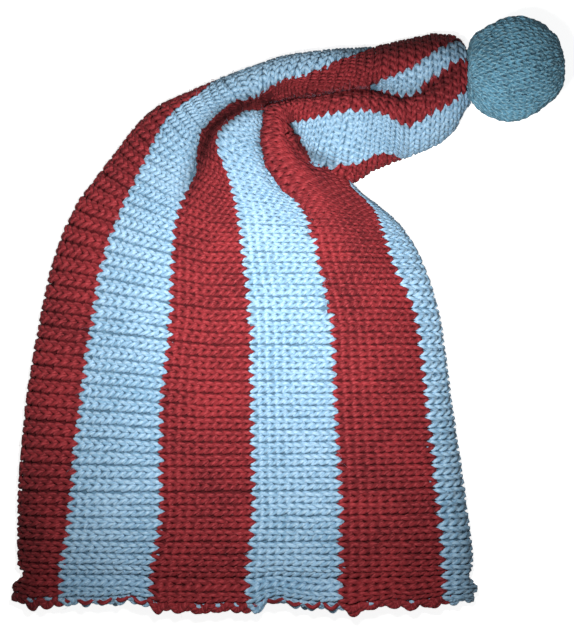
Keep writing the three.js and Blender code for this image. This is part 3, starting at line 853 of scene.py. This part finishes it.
def stitches_round(row):
    """How many stitches a row of the ball has; the knitter drops them towards both ends."""
    size = np.sin((row + 0.5) / BALL_ROWS * np.pi)
    return 34 if size > 0.7 else 26 if size > 0.48 else 16 if size > 0.26 else 8


shape = bmesh.new()
for row in range(BALL_ROWS):
    strand_grid(shape, stitches_round(row), stitches_round(row) * 12, 5, row)
mark_strand(shape)
row_counts = np.array([stitches_round(row) for row in range(BALL_ROWS)])


def ball_loops(flat):
    along, ring, row = flat[:, 0], flat[:, 1], np.round(flat[:, 2]).astype(int)
    middle = (row + 0.5) / BALL_ROWS * np.pi
    stitch_width = 2 * np.pi * np.sin(middle) * BALL_WIDTH / 2 / row_counts[row]

    def path(at):
        t = 2 * np.pi * at
        turned = 2 * (at % row_counts[row])
        x = (t + BALL_SWAY * np.sin(2 * t)) / (2 * np.pi) * stitch_width
        x += BALL_UNEVEN[0] * uneven(ball_shifts[0], row, turned)
        y = -BALL_REACH * np.cos(t) * BALL_ROW_PITCH
        y += BALL_UNEVEN[1] * uneven(ball_shifts[1], row, turned)
        z = -BALL_DEPTH * np.cos(2 * t) + BALL_UNEVEN[2] * uneven(ball_shifts[2], row, turned)
        return np.stack([x, y, z], axis=1)

    place = rolled(path, along, ring, BALL_RADIUS)
    azimuth = 2 * np.pi * place[:, 0] / stitch_width / row_counts[row]
    polar = np.clip(middle + place[:, 1] / (BALL_WIDTH / 2), 0.01, np.pi - 0.01)
    return on_ball(polar, azimuth, place[:, 2] - BALL_MIDDLE)


move_verts(shape, ball_loops)
ball = finish_mesh(shape, "stuffed_ball_stitches", BALL_YARN)
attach(ball, "root")
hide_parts("stuffed_ball")

# The ball's back. Behind its stitches lies a closed dark skin, whose darkness is painted shade.
# What it is stuffed with isn't visible, so the skin is round and firm, as over tight stuffing.
shape = bmesh.new()
bmesh.ops.create_uvsphere(shape, u_segments=48, v_segments=32, radius=1)
mark_strand(shape)


def stuffing(flat):
    polar = np.arccos(np.clip(flat[:, 2], -1, 1))
    azimuth = np.arctan2(flat[:, 1], flat[:, 0])
    return on_ball(polar, azimuth, np.full(len(flat), -BALL_BACK))


move_verts(shape, stuffing)
bmesh.ops.recalc_face_normals(shape, faces=shape.faces)
core = finish_mesh(shape, "stuffed_ball_back", BACKINGS["blue"])
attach(core, "root")

# The floor. It is plain white paper under the cap, and it glows a little so that it comes out
# as white as the photo's ground. It throws no soft light back on the cap.
PAPER_GLOW = 0.82
bpy.ops.mesh.primitive_plane_add(size=6, location=(0, 0, 0))
floor = bpy.context.object
floor.name = "floor"
floor.visible_diffuse = False
paper = bpy.data.materials.new("paper")
paper.use_nodes = True
paper_shader = paper.node_tree.nodes["Principled BSDF"]
paper_shader.inputs["Base Color"].default_value = (0.95, 0.95, 0.95, 1)
paper_shader.inputs["Roughness"].default_value = 0.9
paper_shader.inputs["Emission Color"].default_value = (1, 1, 1, 1)
paper_shader.inputs["Emission Strength"].default_value = PAPER_GLOW
floor.data.materials.append(paper)

# The camera. It looks straight down, as the photo does, and stands where the mouth's edge
# lands on the photo's own pixels.
PHOTO_WIDTH, PHOTO_HEIGHT = 574, 640
MOUTH_LEFT_PIXEL, MOUTH_PIXELS = 19, 447
MOUTH_EDGE_PIXEL = 603
LENS, SENSOR = 85, 36
TOP_LEVEL = 0.016
scale = MOUTH_WIDTH / MOUTH_PIXELS
camera_data = bpy.data.cameras.new("camera")
camera_data.lens = LENS
camera_data.sensor_width = SENSOR
camera = bpy.data.objects.new("camera", camera_data)
bpy.context.scene.collection.objects.link(camera)
mouth_left = stripe_low[0] - MOUTH_WIDTH * table["outer_x"].min()
mouth_edge = stripe_low[1] - CAP_LENGTH * table["outer_y"].min()
camera.location = (
    mouth_left + (PHOTO_WIDTH / 2 - MOUTH_LEFT_PIXEL) * scale,
    mouth_edge + (MOUTH_EDGE_PIXEL - PHOTO_HEIGHT / 2) * scale,
    TOP_LEVEL + PHOTO_HEIGHT * scale * LENS / SENSOR,
)
bpy.context.scene.camera = camera

# The light. One soft lamp with a narrow spread hangs over the middle of the cap and points
# straight down, so its light falls off towards the mouth and the ball. Faint white light from
# all round fills the shadows.
LAMP_PLACE = (-0.006, 0.014, 0.36)
lamp_data = bpy.data.lights.new("lamp_over_the_cap", "AREA")
lamp_data.energy = 0.465
lamp_data.size = 0.06
lamp_data.spread = np.radians(82)
lamp = bpy.data.objects.new("lamp_over_the_cap", lamp_data)
lamp.location = LAMP_PLACE
bpy.context.scene.collection.objects.link(lamp)
world = bpy.data.worlds.new("studio")
world.use_nodes = True
world.node_tree.nodes["Background"].inputs["Color"].default_value = (1, 1, 1, 1)
world.node_tree.nodes["Background"].inputs["Strength"].default_value = 0.16
bpy.context.scene.world = world
bpy.context.scene.view_settings.view_transform = "Standard"
